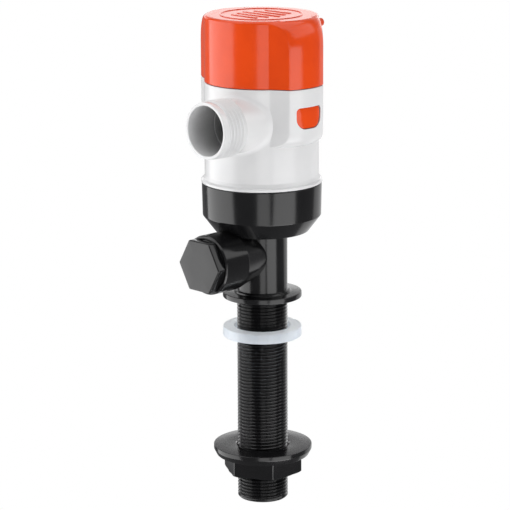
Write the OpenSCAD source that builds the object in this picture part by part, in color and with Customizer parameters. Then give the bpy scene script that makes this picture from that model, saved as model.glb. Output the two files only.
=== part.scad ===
// Marine livewell pump. A lift-out motor cartridge stands in a white body on
// a black base with a side port and a threaded through-hull stem.
// Units are millimetres and +Z is up. The origin is on the stem's axis, at the
// underside of the hull flange. The outlet and side port face -Y, and the two
// lobes with the release buttons face +X and -X.

/* [Stem] */
// Crest radius of the stem's pipe thread
stem_r = 13.35; // [12:0.05:17]
// Pitch of the pipe thread
thread_pitch = 1.814; // [1:0.001:3]
// Depth of the thread groove
thread_depth = 0.95; // [0.4:0.05:1.5]
// Length of the threaded stem below the hull flange
stem_l = 110.4; // [60:0.2:160]
// Radius of the water passage up the stem
stem_bore_r = 9.5; // [6:0.1:11]
// Radius of the plain stem above the flange
neck_r = 13.25; // [11:0.05:17]
// Radius of the hull flange
flange_r = 20.75; // [18:0.05:26]
// Thickness of the hull flange
flange_t = 2.85; // [2:0.05:5]
// Length of plain stem between the hull flange and the thread
stem_plain = 1; // [0.5:0.1:2]

/* [Cup] */
// Height of the cup's flat bottom above the hull flange's underside
cup_z = 35.8; // [30:0.1:45]
// Radius of the flat bottom
cup_foot_r = 24.35; // [18:0.1:28]
// Radius of the cup where its cone meets its wall
cup_low_r = 30.9; // [26:0.05:36]
// Height of the top of the cone
cup_cone_z = 44.4; // [40:0.1:52]
// Radius of the cup at its rim
cup_top_r = 31.25; // [26:0.05:36]
// Height of the cup's rim
cup_rim_z = 61.6; // [52:0.1:70]
// Radius inside the cup
cup_in_r = 28.55; // [24:0.05:33]

/* [Side port] */
// Height of the side port's axis
port_z = 23.3; // [18:0.1:28]
// Radius of the port's collar
port_r = 15.5; // [14:0.1:18]
// Distance from the stem's axis to the collar's front
port_front = 40.2; // [34:0.1:50]
// Distance from the stem's axis to the back of the collar
port_back = 23.7; // [16:0.1:28]
// Radius of the port's cone at the collar
port_cone_r = 15.4; // [12:0.1:15.4]
// Radius that the port's cone would have at the stem's axis
port_boss_r = 9.2; // [8.9:0.1:12]
// Radius of the passage from the port to the stem
port_bore_r = 8.6; // [6:0.1:9.4]
// Radius across the corners of the plug's hexagon
plug_hex_r = 15; // [12:0.1:15.4]
// Thickness of the plug's hexagon
plug_hex_t = 4.8; // [3:0.1:8]

/* [Washer and nut] */
// Outer radius of the sealing washer
washer_r = 20.7; // [18:0.1:26]
// Hole radius of the sealing washer
washer_hole_r = 14.7; // [13.5:0.1:16]
// Thickness of the sealing washer
washer_t = 5.4; // [2:0.1:8]
// Height of the washer's top face
washer_z = -15.8; // [-30:0.1:-2]
// Radius of the nut's flange
nut_flange_r = 26.1; // [23:0.1:32]
// Thickness of the nut's flange
nut_flange_t = 5.2; // [2:0.1:6]
// Radius across the corners of the nut's hexagon
nut_hex_r = 21.4; // [19:0.1:25]
// Height of the whole nut
nut_h = 14.7; // [8:0.1:20]
// Height of the nut's top face
nut_z = -81.1; // [-95:0.1:-50]

/* [Body] */
// Outer radius of the white body
body_r = 29.7; // [27:0.05:34]
// Radius inside the body's chamber
chamber_r = 26.5; // [23:0.05:30]
// Height of the chamber's floor
chamber_z = 68; // [64:0.5:74]
// Height of the body's rim
body_rim_z = 114.3; // [104:0.1:124]
// Radius of the lip that sits on the cup
lip_r = 31.5; // [28:0.05:36]
// Height of the lip's underside
lip_z = 61.9; // [55:0.1:70]
// Radius of the eye that feeds the impeller
eye_r = 11; // [7:0.1:15]

/* [Lobes] */
// Furthest reach of a lobe from the pump's axis
lobe_x = 35.5; // [33:0.1:38]
// Radius of a lobe's crowned outer face
lobe_face_r = 28.5; // [24:0.1:40]
// Half the width of a lobe's outer face
lobe_w = 12.15; // [9:0.1:15]
// Height of a lobe's lower end on the body
lobe_low_z = 84.4; // [80:0.1:92]
// Height where the lobe's outer face starts to curve in at its lower end
lobe_bend_z = 93; // [86:0.1:97]
// Half the width of the button's window
window_w = 8.6; // [5:0.1:9]
// Height of the top of the button's window
window_top = 105; // [100:0.1:110]
// Height of the bottom of the button's window
window_low = 93.8; // [88:0.1:98]
// How far a button can be pressed in
press_travel = 2; // [1:0.1:3]

/* [Outlet] */
// Distance of the outlet's axis to the side of the pump's axis
outlet_x = 11; // [0:0.1:14]
// Height of the outlet's axis
outlet_z = 96; // [85:0.1:105]
// Distance from the pump's axis to the outlet's mouth
outlet_front = 50; // [40:0.1:70]
// Radius of the outlet's bore
outlet_bore_r = 12.85; // [8:0.05:13.2]
// Distance from the pump's axis to the small step inside the bore
outlet_step = 32; // [30:0.1:46]
// Radius of the outlet's plain nose
outlet_nose_r = 14.5; // [13.5:0.05:16]
// Crest radius of the outlet's ridges
outlet_crest_r = 14.95; // [14:0.05:17]
// Spacing of the outlet's ridges
outlet_pitch = 2.31; // [1.5:0.01:3]

/* [Cap] */
// Outer radius of the cap
cap_r = 29.5; // [27:0.05:34]
// Height of the cap's lower edge
cap_low_z = 114.6; // [105:0.1:125]
// Height of the cap's top
cap_top_z = 148.8; // [135:0.1:165]
// Thickness of the cap's wall
cap_wall = 2.3; // [1.6:0.1:4]
// Height where the lobes start to curve in to the top
cap_bend_z = 134; // [125:0.5:142]
// Height of the cord gland's axis
gland_z = 140.3; // [128:0.1:142]
// Distance from the pump's axis to the gland's tip
gland_tip = 44.2; // [41:0.1:50]

/* [Motor] */
// Outer radius of the watertight motor housing
shell_r = 17.5; // [16.5:0.1:20]
// Radius of the motor's steel can
can_r = 15; // [13:0.1:15.8]
// Length of the motor's steel can
can_l = 40; // [30:0.5:42]
// Radius of the armature's core
core_r = 10.8; // [8:0.1:11.2]
// Radius of the motor's shaft
shaft_r = 1.6; // [1:0.05:2.5]

/* [Impeller] */
// Outer radius of the impeller
impeller_r = 20; // [15:0.5:24]
// Number of impeller blades
blades = 6; // [4:1:8]
// Height of the impeller's blades
blade_h = 8.5; // [5:0.1:10]

/* [Hidden] */
$fn = 96;
black_plastic = "#1b1b1d";
white_plastic = "#f2f2f0";
orange_plastic = "#e8511f";
clear_rubber = "#dfe8f2";
seal_rubber = "#2a2a2c";
steel = "#b9bcc0";
magnet_dark = "#3a3b3f";
copper = "#b4672f";
bronze = "#b08a4a";
carbon = "#2c2c2e";
fit_gap = 0.07;
loose_gap = 0.3;
socket_r = 13.25;
plug_r = socket_r - 0.1;
gasket_t = 1.8;
socket_floor = 26.5;
crest_flat = 0.45;
root_flat = 0.25;
flank_z = (thread_pitch - crest_flat - root_flat) / 2;
thread_turns = floor((stem_l - stem_plain - 1.4) / thread_pitch);
spigot_r = cup_in_r - loose_gap;
spigot_low = 49;
spigot_seal_z = 55.4;
seal_wire = 1.15;
flange_low = 109.3;
flange_high = 118;
cart_flange_r = chamber_r - loose_gap;
cart_seal_z = 111.5;
cart_wire = 1.2;
shell_low = 84;
shell_top = 144.4;
shell_wall = 1.6;
can_low = 94;
can_top = can_low + can_l;
can_wall = 1.2;
lobe_axis_x = lobe_x - lobe_face_r;
lobe_corner_x = lobe_axis_x + sqrt(lobe_face_r * lobe_face_r - lobe_w * lobe_w);
lobe_root = [25, 16.9];
lobe_splay = (lobe_root[1] - lobe_w) / (lobe_corner_x - lobe_root[0]);
lobe_low_drop = 5.7;
lobe_top_drop = 6.2;
button_sink = 0.45;
pocket_in = 28.2;
pocket_out = 31.7;
pocket_w = 9.5;
button_gap = 0.25;
bearing_r = 3.4;
magnet_in = core_r + 0.7;
seal_r = 6;
impeller_low = 70.5;

// One turn of groove and crest, as profile points going up from height z.
function thread_turn(r, z) = [[r, z], [r, z + crest_flat], [r - thread_depth, z + crest_flat + flank_z],
                              [r - thread_depth, z + crest_flat + flank_z + root_flat]];

// All turns of a thread, joined into one list of points.
function thread_points(r, z, turns) = [for (i = [0 : turns - 1]) for (p = thread_turn(r, z + i * thread_pitch)) p];

// Points on a quarter of an ellipse about (cx, cz), from angle a to angle b.
function arc_points(cx, cz, rx, rz, a, b, steps) = [for (i = [0 : steps])
    [cx + rx * cos(a + (b - a) * i / steps), cz + rz * sin(a + (b - a) * i / steps)]];

// A cylinder that lies along Y, from y0 to y1, at height z and offset x.
module y_cylinder(r, y0, y1, x, z) {
    translate([x, y1, z])
        rotate([90, 0, 0])
            cylinder(r = r, h = y1 - y0);
}

// A flat shape drawn in (y, z), stood up and thickened from x0 to x1.
module x_plate(x0, x1) {
    translate([x0, 0, 0])
        rotate([90, 0, 90])
            linear_extrude(height = x1 - x0)
                children();
}

// A ring of round section about Z.
module o_ring(r, wire, z) {
    translate([0, 0, z])
        rotate_extrude()
            translate([r, 0])
                circle(r = wire, $fn = 32);
}

// Plan of one lobe's splayed flanks, open outwards past the face.
module lobe_plan() {
    far = lobe_x + 3;
    near = 20;
    polygon([[near, -lobe_root[1] - (lobe_root[0] - near) * lobe_splay],
             [far, -lobe_root[1] + (far - lobe_root[0]) * lobe_splay],
             [far, lobe_root[1] - (far - lobe_root[0]) * lobe_splay],
             [near, lobe_root[1] + (lobe_root[0] - near) * lobe_splay]]);
}

// The lobe's flanks, raised from z0 to z1.
module lobe_prism(z0, z1) {
    translate([0, 0, z0])
        linear_extrude(height = z1 - z0)
            lobe_plan();
}

// A profile drawn in (radius, z), turned about the axis of the lobe's crowned face.
module lobe_turned(points) {
    translate([lobe_axis_x, 0, 0])
        rotate_extrude()
            polygon(points);
}

// One lobe of the white body, with its lower end curved in.
module body_lobe() {
    intersection() {
        lobe_prism(lobe_low_z, body_rim_z);
        lobe_turned(concat([[0, lobe_low_z]],
                           arc_points(lobe_face_r - lobe_low_drop, lobe_bend_z, lobe_low_drop,
                                      lobe_bend_z - lobe_low_z, -90, 0, 8),
                           [[lobe_face_r, body_rim_z + 1], [0, body_rim_z + 1]]));
    }
}

// One lobe of the cap, with its upper end curved in.
module cap_lobe() {
    intersection() {
        lobe_prism(cap_low_z, cap_top_z);
        lobe_turned(concat([[0, cap_low_z - 1], [lobe_face_r, cap_low_z - 1]],
                           arc_points(lobe_face_r - lobe_top_drop, cap_bend_z, lobe_top_drop,
                                      cap_top_z - 0.2 - cap_bend_z, 0, 90, 9),
                           [[0, cap_top_z - 0.2]]));
    }
}

// The D shape of a button's window, grown by g on every side.
module window_shape(g) {
    w = window_w + g;
    top = window_top + g;
    low = window_low - g;
    polygon(concat(arc_points(w - 4.4, low + 4.4, 4.4, 4.4, -90, 0, 6),
                   arc_points(w - 1.8, top - 1.8, 1.8, 1.8, 0, 90, 3),
                   arc_points(1.8 - w, top - 1.8, 1.8, 1.8, 90, 180, 3),
                   arc_points(4.4 - w, low + 4.4, 4.4, 4.4, 180, 270, 6)));
}

// Pocket and window cut into one lobe of the body.
module lobe_pocket() {
    translate([pocket_in, -pocket_w, lobe_bend_z - 0.7])
        cube([pocket_out - pocket_in, 2 * pocket_w, body_rim_z - lobe_bend_z + 2]);
    x_plate(pocket_out - 0.5, lobe_x + 1)
        window_shape(0);
}

// Black cup with its cone. It is moulded in one with the neck and the stem.
module base_cup() {
    color(black_plastic)
    difference() {
        rotate_extrude()
            polygon([[stem_bore_r, cup_z], [cup_foot_r, cup_z], [cup_low_r, cup_cone_z],
                     [cup_top_r, cup_rim_z], [cup_in_r, cup_rim_z], [cup_in_r, cup_cone_z + 1.6],
                     [cup_foot_r - 1.7, cup_z + 2.2], [stem_bore_r, cup_z + 2.2]]);
        y_cylinder(port_r, -port_front - 1, -port_back, 0, port_z);
    }
}

// Neck with hull flange, the stem's plain top, and the side port's boss and collar.
module base_neck() {
    color(black_plastic)
    difference() {
        union() {
            rotate_extrude()
                polygon([[0, -stem_plain], [stem_r, -stem_plain], [stem_r, 0], [flange_r - 0.3, 0],
                         [flange_r, 0.3], [flange_r, flange_t - 0.3],
                         [flange_r - 0.3, flange_t], [neck_r + 1.8, flange_t],
                         [neck_r + 1.5, flange_t + 0.9], [neck_r, flange_t + 1.1],
                         [neck_r, cup_z], [0, cup_z]]);
            intersection() {
                translate([0, 0, port_z])
                    rotate([90, 0, 0])
                        cylinder(r1 = port_boss_r, r2 = port_cone_r, h = port_back);
                cylinder(r = cup_top_r, h = cup_z);
            }
            y_cylinder(port_r, 0.8 - port_front, -port_back, 0, port_z);
            y_cylinder(port_r - 0.8, -port_front, -port_back, 0, port_z);
        }
        translate([0, 0, -stem_plain - 1])
            cylinder(r = stem_bore_r, h = cup_z + stem_plain + 2);
        y_cylinder(port_bore_r, -socket_floor - 1, 0, 0, port_z);
        y_cylinder(socket_r, -port_front - 1, -socket_floor, 0, port_z);
    }
}

// Threaded stem under the hull flange.
module base_stem() {
    color(black_plastic)
    rotate_extrude()
        polygon(concat([[stem_bore_r, -stem_l], [stem_r - 0.65, -stem_l], [stem_r, 0.7 - stem_l]],
                       thread_points(stem_r, 1.2 - stem_l, thread_turns),
                       [[stem_r, 1.2 - stem_l + thread_turns * thread_pitch], [stem_r, -stem_plain],
                        [stem_bore_r, -stem_plain]]));
}

// White body: pump chamber, seal spigot, lip and lobes.
module pump_body() {
    color(white_plastic)
    difference() {
        union() {
            rotate_extrude()
                polygon([[0, spigot_low], [spigot_r - 0.6, spigot_low], [spigot_r, spigot_low + 0.6],
                         [spigot_r, lip_z], [lip_r - 0.2, lip_z], [lip_r, lip_z + 0.2],
                         [lip_r, lip_z + 1.1], [lip_r - 0.4, lip_z + 1.4], [body_r + 0.55, lip_z + 2.2],
                         [body_r + 0.15, lip_z + 2.8], [body_r, lip_z + 3.6], [body_r, body_rim_z],
                         [0, body_rim_z]]);
            body_lobe();
            mirror([1, 0, 0])
                body_lobe();
        }
        translate([0, 0, chamber_z])
            cylinder(r = chamber_r, h = body_rim_z - chamber_z + 1);
        translate([0, 0, chamber_z - 6])
            cylinder(r = eye_r, h = 8);
        translate([0, 0, spigot_low - 1])
            cylinder(r = 24.5, h = chamber_z - 4 - spigot_low + 1);
        y_cylinder(outlet_bore_r - 0.5, -outlet_front, -8, outlet_x, outlet_z);
        lobe_pocket();
        mirror([1, 0, 0])
            lobe_pocket();
        translate([0, 0, spigot_seal_z])
            rotate_extrude()
                translate([spigot_r - 2.05, -1.3])
                    square([3, 2.6]);
    }
}

// Outlet spout with a plain nose, ridges and a neck, moulded in one with the body.
module outlet_spout() {
    color(white_plastic)
    difference() {
        translate([outlet_x, 0, outlet_z])
            rotate([90, 0, 0])
                rotate_extrude()
                    polygon(concat([[0, 12], [13.9, 12], [13.9, 34.4]],
                                   outlet_ridges(),
                                   [[outlet_nose_r, 46.6], [outlet_nose_r, outlet_front - 0.5],
                                    [outlet_nose_r - 0.5, outlet_front], [0, outlet_front]]));
        y_cylinder(outlet_bore_r, -outlet_front - 1, -outlet_step, outlet_x, outlet_z);
        y_cylinder(outlet_bore_r - 0.5, -outlet_front + 1, 0, outlet_x, outlet_z);
        translate([0, 0, outlet_z - 20])
            cylinder(r = body_r, h = 40);
        body_lobe();
    }
}

// Profile points of the outlet's ridges, from the neck towards the mouth.
function outlet_ridges() = [for (i = [0 : 4]) for (p = [[outlet_crest_r - 0.9, 34.6 + i * outlet_pitch],
    [outlet_crest_r, 35.3 + i * outlet_pitch], [outlet_crest_r, 35.9 + i * outlet_pitch],
    [outlet_crest_r - 0.9, 36.6 + i * outlet_pitch]]) p];

// Seal ring between the body's spigot and the cup.
module body_seal() {
    color(seal_rubber)
        o_ring(cup_in_r - 0.05 - seal_wire, seal_wire, spigot_seal_z);
}

// Hex plug that closes the side port.
module side_plug() {
    color(black_plastic)
    translate([0, 0, port_z])
    rotate([90, 0, 0])
    difference() {
        union() {
            translate([0, 0, port_front + 0.3])
                cylinder(r = plug_hex_r, h = plug_hex_t, $fn = 6);
            rotate_extrude()
                polygon(concat([[0, socket_floor + 0.2], [8.9, socket_floor + 0.2],
                                [8.9, socket_floor + 0.2 + gasket_t], [12.2, socket_floor + 0.2 + gasket_t]],
                               thread_points(plug_r, socket_floor + 3, 5),
                               [[plug_r, socket_floor + 3 + 5 * thread_pitch], [plug_r, port_front - 0.4],
                                [11.8, port_front + 0.3], [11.8, port_front + 1], [0, port_front + 1]]));
        }
        translate([0, 0, socket_floor - 1])
            cylinder(r = 7, h = port_front - socket_floor);
    }
}

// Flat gasket on the plug's nose.
module plug_gasket() {
    color(seal_rubber)
    translate([0, 0, port_z])
    rotate([90, 0, 0])
    translate([0, 0, socket_floor + 0.15])
    difference() {
        cylinder(r = 12.8, h = gasket_t);
        translate([0, 0, -1])
            cylinder(r = 8.95, h = gasket_t + 2);
    }
}

// Pale washer that seals the hull under the flange.
module seal_washer() {
    color(clear_rubber)
    rotate_extrude()
        polygon([[washer_hole_r, washer_z - washer_t], [washer_r - 0.3, washer_z - washer_t],
                 [washer_r, washer_z - washer_t + 0.3], [washer_r, washer_z - 0.3],
                 [washer_r - 0.3, washer_z], [washer_hole_r, washer_z]]);
}

// Flanged hex nut that clamps the hull.
module flange_nut() {
    color(black_plastic)
    difference() {
        union() {
            rotate_extrude()
                polygon([[0, nut_z - nut_flange_t], [nut_flange_r - 1.5, nut_z - nut_flange_t],
                         [nut_flange_r, nut_z - 2.2], [nut_flange_r, nut_z - 0.3],
                         [nut_flange_r - 0.3, nut_z], [0, nut_z]]);
            intersection() {
                translate([0, 0, nut_z - nut_h])
                    rotate([0, 0, 30])
                        cylinder(r = nut_hex_r, h = nut_h - 1, $fn = 6);
                rotate_extrude()
                    polygon([[0, nut_z - nut_h], [nut_hex_r - 1.2, nut_z - nut_h],
                             [nut_hex_r + 1, nut_z - nut_h + 1.3], [nut_hex_r + 1, nut_z], [0, nut_z]]);
            }
        }
        translate([0, 0, nut_z - nut_h - 1])
            cylinder(r = stem_r + fit_gap, h = nut_h + 2);
        translate([0, 0, nut_z - 0.9])
            cylinder(r1 = stem_r, r2 = stem_r + 1.2, h = 1.2);
    }
}

// Release button with the flange that keeps it in its lobe.
module release_button() {
    color(orange_plastic) {
        x_plate(pocket_out - button_gap - 1.2, pocket_out - button_gap)
            translate([-window_w - 0.6, window_low - 0.8])
                square([2 * window_w + 1.2, window_top - window_low + 1.6]);
        intersection() {
            x_plate(pocket_out - button_gap - 0.1, lobe_x)
                window_shape(-button_gap);
            translate([lobe_axis_x, 0, window_low - 1])
                cylinder(r = lobe_face_r - button_sink, h = window_top - window_low + 2);
        }
    }
}

module release_button_right() {
    release_button();
}

module release_button_left() {
    mirror([1, 0, 0])
        release_button();
}

// Tongue of the cap that drops into a lobe's pocket.
module cap_tongue() {
    translate([pocket_in + 0.4, -8, window_top + 2])
        cube([2.4, 16, cap_low_z - window_top]);
}

// Orange cap with lobes, inner sleeve, ribs and a plain raised pattern on top.
module cap() {
    in_r = cap_r - cap_wall;
    color(orange_plastic) {
        difference() {
            union() {
                rotate_extrude()
                    polygon([[0, cap_low_z], [cap_r, cap_low_z], [cap_r, cap_top_z - 1.6],
                             [cap_r - 0.15, cap_top_z - 0.9], [cap_r - 0.45, cap_top_z - 0.35],
                             [cap_r - 0.95, cap_top_z - 0.05], [cap_r - 1.3, cap_top_z], [0, cap_top_z]]);
                cap_lobe();
                mirror([1, 0, 0])
                    cap_lobe();
                y_cylinder(4.6, 27, 32.4, 0, gland_z);
            }
            translate([0, 0, cap_low_z - 1])
                cylinder(r = in_r, h = cap_top_z - cap_wall - cap_low_z + 1);
            y_cylinder(2.9, 20, 33, 0, gland_z);
        }
        cap_tongue();
        mirror([1, 0, 0])
            cap_tongue();
        difference() {
            union() {
                translate([0, 0, flange_high])
                    cylinder(r = shell_r + 1.9, h = cap_top_z - 1 - flange_high);
                for (a = [30 : 60 : 330])
                    rotate([0, 0, a])
                        translate([shell_r + 1, -0.8, flange_high])
                            cube([in_r - shell_r - 0.8, 1.6, cap_top_z - 1 - flange_high]);
            }
            translate([0, 0, flange_high - 1])
                cylinder(r = shell_r, h = shell_top - flange_high + 1);
            translate([0, 0, flange_high])
                cylinder(r = can_r, h = cap_top_z - cap_wall - flange_high);
            y_cylinder(2.9, 10, 33, 0, gland_z);
        }
        top_pattern();
    }
}

// Raised ring and bars on the cap's top.
module top_pattern() {
    translate([0, 0, cap_top_z - 0.2]) {
        difference() {
            cylinder(r = 21.5, h = 0.5);
            translate([0, 0, -1])
                cylinder(r = 20.7, h = 3);
        }
        for (i = [-2 : 2])
            translate([-13 + abs(i) * 2, i * 6 - 0.9, 0])
                cube([26 - abs(i) * 4, 1.8, 0.5]);
    }
}

// Cord gland: a tapered sleeve pushed into the cap's rear boss.
module cord_gland() {
    color(orange_plastic)
    translate([0, 0, gland_z])
    rotate([-90, 0, 0])
    difference() {
        rotate_extrude()
            polygon([[0, 26.5], [2.85, 26.5], [2.85, 32.5], [3.8, 32.5], [3.8, 33.6],
                     [2.9, 34.4], [2.9, 36], [3.3, 36.3], [3.1, 37.2], [2.5, 37.5], [2.5, 38.8],
                     [2.8, 39.1], [2.6, 40], [2.1, 40.4], [2.1, gland_tip - 0.4],
                     [1.8, gland_tip], [0, gland_tip]]);
        translate([0, 0, 20])
            cylinder(r = 1.4, h = 30);
    }
}

// Watertight housing that holds the motor and seals in the body.
module motor_housing() {
    color(black_plastic)
    difference() {
        union() {
            translate([0, 0, shell_low])
                cylinder(r = shell_r, h = shell_top - shell_low);
            rotate_extrude()
                polygon([[0, flange_low], [cart_flange_r - 0.5, flange_low], [cart_flange_r, flange_low + 0.5],
                         [cart_flange_r, flange_high], [0, flange_high]]);
        }
        translate([0, 0, can_low])
            cylinder(r = shell_r - shell_wall, h = 60);
        translate([0, 0, shell_low + 1.6])
            cylinder(r = seal_r, h = 10);
        translate([0, 0, shell_low - 1])
            cylinder(r = shaft_r + 0.7, h = 10);
        translate([0, 0, cart_seal_z])
            rotate_extrude()
                translate([cart_flange_r - 2.2, -1.3])
                    square([3, 2.6]);
        translate([0, 0, flange_high - 5])
            difference() {
                cylinder(r = cart_flange_r - 1.8, h = 6);
                translate([0, 0, -1])
                    cylinder(r = shell_r + 0.6, h = 8);
            }
    }
}

// Seal ring on the motor housing's flange.
module cartridge_seal() {
    color(seal_rubber)
        o_ring(chamber_r - 0.05 - cart_wire, cart_wire, cart_seal_z);
}

// Steel can of the motor.
module motor_can() {
    color(steel)
    difference() {
        union() {
            translate([0, 0, can_low])
                cylinder(r = can_r, h = can_l);
            translate([0, 0, can_low - 2.6])
                cylinder(r = 4.6, h = 3);
        }
        translate([0, 0, can_low + can_wall])
            cylinder(r = can_r - can_wall, h = can_l);
        translate([0, 0, can_low - 4])
            cylinder(r = bearing_r, h = 8);
    }
}

// Plastic end bell with the brush boxes.
module end_bell() {
    color(black_plastic)
    difference() {
        union() {
            translate([0, 0, can_top])
                cylinder(r = can_r, h = 2.6);
            translate([0, 0, can_top + 2])
                cylinder(r = 5, h = 3.2);
            for (s = [-1, 1])
                translate([-3, s * 8.9 - 3.9, can_top - 6])
                    cube([6, 7.8, 6.5]);
        }
        translate([0, 0, can_top - 7])
            cylinder(r = bearing_r, h = 16);
        translate([-1.7, -14, can_top - 4.7])
            cube([3.4, 28, 3.4]);
    }
}

// One curved ceramic magnet inside the can.
module magnet(turn) {
    color(magnet_dark)
    rotate([0, 0, turn])
    intersection() {
        translate([0, 0, can_low + 4])
            difference() {
                cylinder(r = can_r - can_wall, h = 30);
                translate([0, 0, -1])
                    cylinder(r = magnet_in, h = 32);
            }
        translate([0, 0, can_low])
            linear_extrude(height = 50)
                polygon([[0, 0], [20, -30], [40, 0], [20, 30]]);
    }
}

module magnet_a() {
    magnet(0);
}

module magnet_b() {
    magnet(180);
}

// Plain bronze bearing with its lower face at height z.
module bearing(z, h) {
    color(bronze)
    translate([0, 0, z])
    difference() {
        cylinder(r = bearing_r, h = h);
        translate([0, 0, -1])
            cylinder(r = shaft_r + 0.05, h = h + 2);
    }
}

module bearing_top() {
    bearing(can_top + 0.2, 4.6);
}

module bearing_low() {
    bearing(can_low - 2.4, 4);
}

// Shaft seal in the floor of the motor housing.
module shaft_seal() {
    color(seal_rubber)
    translate([0, 0, shell_low + 1.6])
    difference() {
        cylinder(r = seal_r, h = 5);
        translate([0, 0, -1])
            cylinder(r = shaft_r + 0.05, h = 8);
        translate([0, 0, 3])
            cylinder(r = 3.6, h = 3);
    }
}

// One carbon brush on the side given by s.
module brush(s) {
    color(carbon)
    translate([-1.6, s * 6.7 - 2.3, can_top - 4.6])
        cube([3.2, 4.6, 3.2]);
}

module brush_a() {
    brush(1);
}

module brush_b() {
    brush(-1);
}

// Leaf springs that press the brushes inwards.
module brush_springs() {
    color(bronze)
    for (s = [-1, 1]) {
        translate([-1.3, s * 9.2 - 0.15, can_top - 4.4])
            cube([2.6, 0.3, 2.8]);
        translate([-0.8, s * 10.7 - 1.65, can_top - 3.4])
            cube([1.6, 3.3, 0.8]);
    }
}

// Two tabs that bring the current in through the end bell.
module terminals() {
    color(bronze)
    for (s = [-1, 1])
        translate([s * 9.5 - 1.4, -0.4, can_top + 2.6])
            cube([2.8, 0.8, 5]);
}

// Motor shaft down to the impeller.
module shaft() {
    color(steel)
    translate([0, 0, impeller_low + 1])
        cylinder(r = shaft_r, h = can_top + 4.4 - impeller_low - 1);
}

// Laminated core with five slots.
module armature_core() {
    color(steel)
    translate([0, 0, can_low + 9])
    difference() {
        cylinder(r = core_r, h = 20);
        translate([0, 0, -1])
            cylinder(r = shaft_r, h = 22);
        for (a = [0 : 72 : 288])
            rotate([0, 0, a])
                translate([4.6, -0.8, -1])
                    cube([10, 1.6, 22]);
        for (a = [0 : 72 : 288])
            rotate([0, 0, a])
                translate([6.8, 0, -1])
                    cylinder(r = 2.1, h = 22, $fn = 24);
    }
}

// Copper windings: a bundle in each slot and a crown at each end.
module windings() {
    color(copper) {
        for (a = [0 : 72 : 288])
            rotate([0, 0, a])
                translate([6.8, 0, can_low + 8])
                    cylinder(r = 2, h = 22, $fn = 24);
        for (z = [can_low + 6, can_low + 29])
            translate([0, 0, z])
                difference() {
                    cylinder(r = 9.4, h = 3);
                    translate([0, 0, -1])
                        cylinder(r = shaft_r, h = 5);
                }
    }
}

// Commutator with three gaps between its bars.
module commutator() {
    color(copper)
    translate([0, 0, can_top - 6])
    difference() {
        cylinder(r = 4.2, h = 5.6);
        translate([0, 0, -1])
            cylinder(r = shaft_r, h = 8);
        for (a = [30 : 120 : 270])
            rotate([0, 0, a])
                translate([3, -0.25, -1])
                    cube([3, 0.5, 8]);
    }
}

// Impeller: a top disc, a hub and straight swept blades.
module impeller() {
    color(black_plastic)
    difference() {
        union() {
            translate([0, 0, impeller_low + blade_h])
                cylinder(r = impeller_r, h = 2);
            translate([0, 0, impeller_low])
                cylinder(r = 4.4, h = 12.6);
            intersection() {
                translate([0, 0, impeller_low])
                    cylinder(r = impeller_r, h = blade_h + 1);
                for (i = [0 : blades - 1])
                    rotate([0, 0, i * 360 / blades])
                        translate([2, 2.4, impeller_low])
                            rotate([0, 0, 28])
                                cube([25, 1.8, blade_h + 0.5]);
            }
        }
        translate([0, 0, impeller_low + 1])
            cylinder(r = shaft_r, h = 20);
    }
}

base_cup();
base_neck();
base_stem();
pump_body();
outlet_spout();
body_seal();
side_plug();
plug_gasket();
seal_washer();
flange_nut();
release_button_right();
release_button_left();
cap();
cord_gland();
motor_housing();
cartridge_seal();
motor_can();
end_bell();
magnet_a();
magnet_b();
bearing_top();
bearing_low();
shaft_seal();
brush_a();
brush_b();
brush_springs();
terminals();
shaft();
armature_core();
windings();
commutator();
impeller();
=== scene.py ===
import math

import bmesh
import bpy
import numpy as np
from mathutils import Matrix, Vector


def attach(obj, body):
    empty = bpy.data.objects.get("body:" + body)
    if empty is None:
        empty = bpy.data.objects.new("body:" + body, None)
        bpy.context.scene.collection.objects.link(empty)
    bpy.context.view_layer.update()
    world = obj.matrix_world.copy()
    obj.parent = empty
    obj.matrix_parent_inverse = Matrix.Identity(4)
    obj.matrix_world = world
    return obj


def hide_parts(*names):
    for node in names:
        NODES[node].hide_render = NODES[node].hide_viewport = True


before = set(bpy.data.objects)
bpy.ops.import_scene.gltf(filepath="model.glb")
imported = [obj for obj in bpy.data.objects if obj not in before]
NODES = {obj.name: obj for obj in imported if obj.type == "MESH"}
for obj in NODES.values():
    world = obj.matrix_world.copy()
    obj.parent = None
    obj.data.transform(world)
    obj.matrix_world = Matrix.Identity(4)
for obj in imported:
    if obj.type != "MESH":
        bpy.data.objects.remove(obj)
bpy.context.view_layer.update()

MM = 0.001

# Camera: a long lens, a little above the pump, turned towards the outlet side. Angles are in degrees,
# distances in metres, and the lens in millimetres.
CAM_AZIMUTH = 46.0
CAM_PITCH = 13.605
CAM_DISTANCE = 1.233
CAM_HEIGHT = 0.3203
CAM_LEFT = 0.00373
CAM_ROLL = 0.263
CAM_LENS = 170.8

# The point that every light faces, and the floor's reach from the middle, in metres.
LIGHT_AIM = (0, 0, 0.02)
FLOOR_REACH = 6.0

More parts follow.
